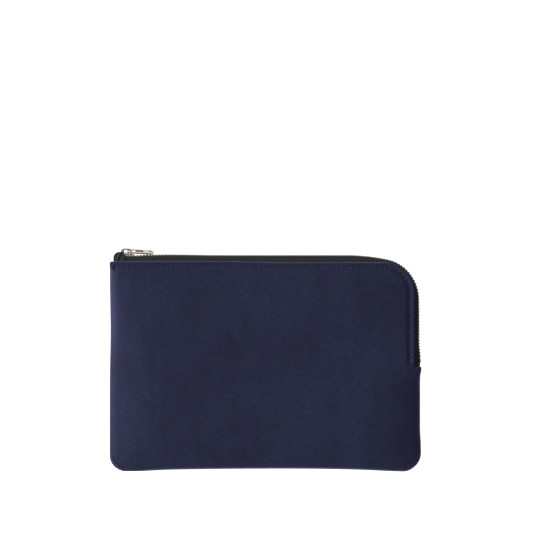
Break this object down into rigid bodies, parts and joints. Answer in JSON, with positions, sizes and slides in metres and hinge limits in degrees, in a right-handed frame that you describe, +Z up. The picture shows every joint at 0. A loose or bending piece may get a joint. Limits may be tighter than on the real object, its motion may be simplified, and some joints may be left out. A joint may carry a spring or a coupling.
{
  "type": "zippered pouch",
  "caption": "Flat rectangular pouch in dark suede, with a metal zip that runs along a long side, round a rounded corner and part-way down a short side, and a slider with a flat pull tab.",
  "frame": {"origin": "middle of the bounding box's underside, on the plane that the pouch lies on", "axes": "+X along the long side, +Y towards the zipped long side, +Z up and out of the front face"},
  "size_m": [0.2108, 0.151, 0.016],
  "materials": {
    "suede": "napped, matt",
    "lining": "smooth plain weave",
    "interlining": "bonded felt",
    "zip_tape": "woven twill, matt",
    "zip_metal": "polished pale gold",
    "slider_metal": "polished pale gold",
    "thread": "spun polyester"
  },
  "bodies": {
    "pouch": {"back_panel": "suede", "front_panel_lower": "suede", "back_lining": "lining", "front_lining_lower": "lining", "back_interlining": "interlining", "front_interlining_lower": "interlining", "back_tape": "zip_tape", "front_tape_ends": "zip_tape", "back_teeth": "zip_metal", "front_teeth_ends": "zip_metal", "back_topstitch": "thread", "front_topstitch_ends": "thread", "top_stop_front": "zip_metal", "top_stop_back": "zip_metal", "bottom_stop": "zip_metal", "seam_thread": "thread"},
    "flap": {"front_panel_flap": "suede", "front_lining_flap": "lining", "front_interlining_flap": "interlining", "front_tape_flap": "zip_tape", "front_teeth_flap": "zip_metal", "front_topstitch_flap": "thread"},
    "slider": {"slider_body": "slider_metal", "slider_bail": "slider_metal"},
    "pull": {"pull_tab": "slider_metal"}
  },
  "joints": [
    {"name": "slider_travel", "type": "slide", "parent": "pouch", "child": "slider", "axis": [1, 0, 0], "range_m": [0, 0.15], "deforming": ["back_teeth", "front_teeth_ends", "front_teeth_flap", "front_tape_flap"]},
    {"name": "mouth_flap", "type": "hinge", "parent": "pouch", "child": "flap", "pos_m": [0.00014, 0.04296, 0.016], "axis": [0.9449, -0.3275, 0], "range_deg": [0, 75]},
    {"name": "pull_swing", "type": "hinge", "parent": "slider", "child": "pull", "pos_m": [-0.0932, 0.0736, 0.0075], "axis": [0, 0, 1], "range_deg": [0, 165]}
  ],
  "couplings": [
    {"joint": "mouth_flap", "follows": "slider_travel", "rad_per_m": 8.72}
  ]
}
